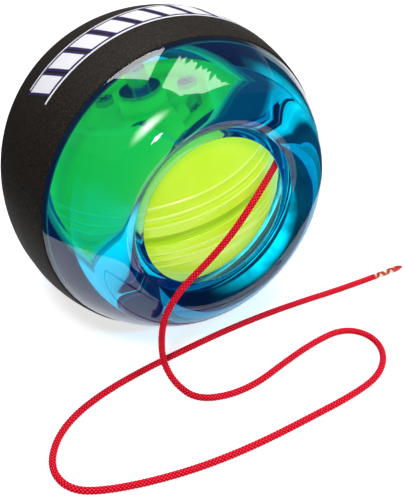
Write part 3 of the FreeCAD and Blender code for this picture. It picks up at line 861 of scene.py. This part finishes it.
cap_outline = outline(
    (math.sqrt(ROTOR_RADIUS ** 2 - (BAND_HALF + FIT) ** 2), BAND_HALF + FIT, 0.12),
    rib(CAP_RIBS[0]),
    rib(CAP_RIBS[1]),
    on_sphere(ROTOR_RADIUS, CAP_RIBS[1] + 1, END_HEIGHT - 0.6),
    (math.sqrt(ROTOR_RADIUS ** 2 - END_HEIGHT ** 2), END_HEIGHT, 0.3),
    (RIM_RADIUS, END_HEIGHT, 0.25),
    (RIM_RADIUS, RECESS_FLOOR, 0.3),
    (BOSS_RADIUS, RECESS_FLOOR, 0.3),
    (BOSS_RADIUS, END_HEIGHT, 0.2),
    (AXLE_RADIUS + FIT, END_HEIGHT, 0.1),
    (AXLE_RADIUS + FIT, CAP_FLOOR),
    (WHEEL_RADIUS + FIT, CAP_FLOOR),
    (WHEEL_RADIUS + FIT, BAND_HALF + FIT),
)
for side, over in (("left", Matrix()), ("right", TURNED_OVER)):
    cap = turned("green_cap_" + side, cap_outline, ROTOR_FRAME @ over, green,
                 "rotor")
    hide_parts("rotor_cap_" + side)

# CAD nodes that keep their shape
finishes = {
    "race_steel": bright_race(),
    "axle_steel": steel("axle_metal", (0.66, 0.67, 0.69), 0.22),
    "screw_steel": steel("screw_metal", (0.60, 0.60, 0.62), 0.3),
    "bush_bronze": steel("bronze", (0.62, 0.47, 0.24), 0.35),
    "ring_plastic": glowing_ring(),
    "hub_plastic": moulded("pale_hub", (0.75, 0.76, 0.74), 0.5),
    "flywheel_zinc": moulded("cast_zinc", (0.42, 0.43, 0.45), 0.45, grain=900),
    "cover_plastic": moulded("grey_cover", (0.60, 0.62, 0.64), 0.45, grain=9000),
}
for subpart in frame["record"]["subparts"]:
    finish = finishes.get(subpart["material_slot"])
    if finish:
        mesh = frame["nodes"][subpart["node"]].data
        mesh.materials.clear()
        mesh.materials.append(finish)


# Floor, world and lamps
FLOOR_REACH = 4.0              # metres
FLOOR_GLOW = 0.72              # the floor's own light, which makes it white under the lamps
# The ball's shadow that the clear plastic shows on the floor is a painted shadow at a fixed
# place
SHADOW_MIDDLE = Vector((35, 2, 0))     # of the ball's shadow as the clear plastic shows it
SHADOW_REACH = 31
SHADOW_FADE = 17
SHADOW_SHARE = 0.96            # how much of the floor's white the shadow takes
SKY_SINK = 0.15                # how much lower the bright sky ends through the clear plastic
SKY_BRIGHT = 0.14              # height that the bright sky reaches, as a share of straight up
SKY_DARK = 0.30                # height where the dark sky begins
CURTAIN_REACH = 78
CURTAIN_DRAW = 17              # how much nearer the curtain comes at its front
CURTAIN_FRONT = math.radians(288)
CURTAIN_ENDS = (math.radians(75), math.radians(373))
CURTAIN_HEIGHTS = (0.5, 75)
CURTAIN_STEPS = 60


def pale_floor():
    """A pale floor that the camera and gloss see as white, and that keeps its shadows. The clear
    plastic shows it white as well, except for a painted shadow of the ball to the right, which
    only rays through the clear plastic see."""
    made = new_material("pale_floor", Roughness=0.9, Specular_IOR_Level=0.0,
                        Emission_Color=(1, 1, 1, 1))
    ray = add_node(made, "ShaderNodeLightPath").outputs
    reach = distance_from(made, object_place(made), SHADOW_MIDDLE)
    shadow = map_range(made, reach, SHADOW_REACH * MM, (SHADOW_REACH + SHADOW_FADE) * MM,
                       SHADOW_SHARE, 0.0)
    # Painted shadow, seen only by rays through the clear plastic
    painted_shadow = product(made, shadow, ray["Is Transmission Ray"])
    colour = ramp(made, painted_shadow, [(0.0, (0.55, 0.55, 0.56)), (1.0, (0.0, 0.0, 0.0))])
    connect(made, colour, "Base Color")
    seen = calculated(made, "MAXIMUM", ray["Is Camera Ray"], ray["Is Glossy Ray"])
    seen = calculated(made, "MAXIMUM", seen, ray["Is Transmission Ray"])
    white = calculated(made, "SUBTRACT", seen, painted_shadow)
    connect(made, product(made, white, FLOOR_GLOW), "Emission Strength")
    return made


def add_floor():
    corners = [(-FLOOR_REACH, -FLOOR_REACH, 0), (FLOOR_REACH, -FLOOR_REACH, 0),
               (FLOOR_REACH, FLOOR_REACH, 0), (-FLOOR_REACH, FLOOR_REACH, 0)]
    floor = new_object("floor", corners, [(0, 1, 2, 3)], pale_floor())


def set_world():
    """A pale sky that is brightest near the horizon. Its bright band ends lower where it is
    seen through the clear plastic."""
    world = bpy.data.worlds.new("sky")
    bpy.context.scene.world = world
    world.use_nodes = True
    way = add_node(world, "ShaderNodeTexCoord").outputs["Generated"]
    upward = add_node(world, "ShaderNodeSeparateXYZ", {0: way}).outputs["Z"]
    through_plastic = add_node(world, "ShaderNodeLightPath").outputs["Is Transmission Ray"]
    height = calculated(world, "MULTIPLY_ADD", through_plastic, SKY_SINK, upward)
    sky = ramp(world, height, [
        (SKY_BRIGHT, (0.80, 0.80, 0.80)),
        (SKY_DARK, (0.09, 0.09, 0.10)),
    ])
    tree = world.node_tree
    tree.links.new(sky, tree.nodes["Background"].inputs["Color"])


def face_ball(thing, direction, distance):
    """Put a lamp or a card at a distance in metres from the ball's middle, facing it."""
    way = Vector(direction).normalized()
    thing.location = BALL_CENTRE * MM + way * distance
    thing.rotation_euler = (-way).to_track_quat("-Z", "Y").to_euler()


def add_lamp(name, direction, distance, width, height, watts, matt=True, gloss=True):
    """A rectangular lamp that faces the ball and lights matt surfaces, shows in gloss, or both.
    Its distance, width and height are in metres."""
    data = bpy.data.lights.new(name, "AREA")
    data.shape = "RECTANGLE"
    data.size = width
    data.size_y = height
    data.energy = watts
    lamp = bpy.data.objects.new(name, data)
    face_ball(lamp, direction, distance)
    lamp.visible_camera = False
    lamp.visible_diffuse = matt
    lamp.visible_transmission = False
    lamp.visible_glossy = gloss
    bpy.context.scene.collection.objects.link(lamp)
    return lamp


def only_gloss(card):
    """Keep a piece of the set out of everything but reflections."""
    card.visible_camera = False
    card.visible_diffuse = False
    card.visible_transmission = False
    card.visible_shadow = False


def add_flag():
    """A dark curtain round the set that only reflections see, open towards the back right and
    drawn in towards the ball at the front."""
    first, last = CURTAIN_ENDS
    verts, faces = [], []
    for step in range(CURTAIN_STEPS + 1):
        angle = first + (last - first) * step / CURTAIN_STEPS
        frontal = max(0.0, math.cos(angle - CURTAIN_FRONT)) ** 4
        reach = CURTAIN_REACH - CURTAIN_DRAW * frontal
        for level in CURTAIN_HEIGHTS:
            verts.append(Vector((reach * math.cos(angle), reach * math.sin(angle), level)) * MM)
    for step in range(CURTAIN_STEPS):
        faces.append((2 * step, 2 * step + 2, 2 * step + 3, 2 * step + 1))
    cloth = new_material("dark_cloth", Base_Color=(0.02, 0.02, 0.025, 1), Roughness=1.0)
    only_gloss(new_object("flag", verts, faces, cloth))


def ragged(start, end, side, teeth, depth):
    """Points along an edge at one side of a card, torn into teeth of uneven depth."""
    points = []
    for tooth in range(teeth):
        at = start + (end - start) * tooth / teeth
        half = (end - start) / teeth / 2
        points.append((at, side))
        points.append((at + half, side - depth * (0.6 + 0.4 * math.sin(2.4 * tooth))))
    return points + [(end, side)]


def add_card(name, middle, long_way, areas, strength):
    """Flat shapes of one plane that face the ball and show only in gloss. Their points are
    measured from the middle, along the long way and across it."""
    facing = (BALL_CENTRE - Vector(middle)).normalized()
    along = Vector(long_way)
    along = (along - facing * along.dot(facing)).normalized()
    across = facing.cross(along)
    verts, faces = [], []
    for area in areas:
        faces.append(tuple(range(len(verts), len(verts) + len(area))))
        for a, b in area:
            verts.append((Vector(middle) + along * a + across * b) * MM)
    glow = new_material(name, Base_Color=(0, 0, 0, 1), Specular_IOR_Level=0.0,
                        Emission_Color=(1, 1, 0.97, 1), Emission_Strength=strength)
    only_gloss(new_object(name, verts, faces, glow))


def add_soft_card(name, direction, distance, width, height, strength):
    """A glow that fades out towards its edges, seen only in gloss. Its distance, width and
    height are in metres."""
    glow = bpy.data.materials.new(name)
    glow.use_nodes = True
    tree = glow.node_tree
    tree.nodes.clear()
    fade = add_node(glow, "ShaderNodeTexGradient", {"Vector": object_place(glow)},
                    gradient_type="QUADRATIC_SPHERE")
    bright = product(glow, fade.outputs["Fac"], strength)
    light = add_node(glow, "ShaderNodeEmission", {"Strength": bright})
    output = add_node(glow, "ShaderNodeOutputMaterial")
    tree.links.new(light.outputs["Emission"], output.inputs["Surface"])
    corners = [(-1, -1, 0), (1, -1, 0), (1, 1, 0), (-1, 1, 0)]
    card = new_object(name, corners, [(0, 1, 2, 3)], glow)
    face_ball(card, direction, distance)
    card.scale = (width / 2, height / 2, 1)
    only_gloss(card)


add_floor()
set_world()
add_flag()
add_soft_card("soft_card", (-0.33, -0.60, 0.72), 0.50, 0.34, 0.34, 30.0)
spark = add_lamp("spark_lamp", (-0.181, -0.902, 0.390), 0.0684, 0.005, 0.006, 0.004, matt=False)
# The spark is a small highlight on the front shell, and lights nothing else
only_shell = bpy.data.collections.new("only_shell")
only_shell.objects.link(front_shell)
spark.light_linking.receiver_collection = only_shell
add_lamp("key_lamp", (-0.37, -0.47, 0.80), 0.60, 0.10, 0.10, 2.3, gloss=False)
add_lamp("top_lamp", (0.30, 0.10, 0.95), 0.70, 0.40, 0.30, 3.0, gloss=False)
add_lamp("fill_lamp", (0.75, -0.60, 0.30), 0.80, 0.30, 0.50, 1.8, gloss=False)
add_card("overhead_card", (70, 60, 730), (0.67, -0.74, 0), [
    [(-480, -200), (-70, -200), (-70, 150), (-480, 150)],
    [*ragged(40, 560, -175, 13, -110), (560, 190), (40, 190)],
], 7.0)

scene = bpy.context.scene
scene.view_settings.view_transform = "Standard"
scene.cycles.caustics_reflective = False
scene.cycles.caustics_refractive = False
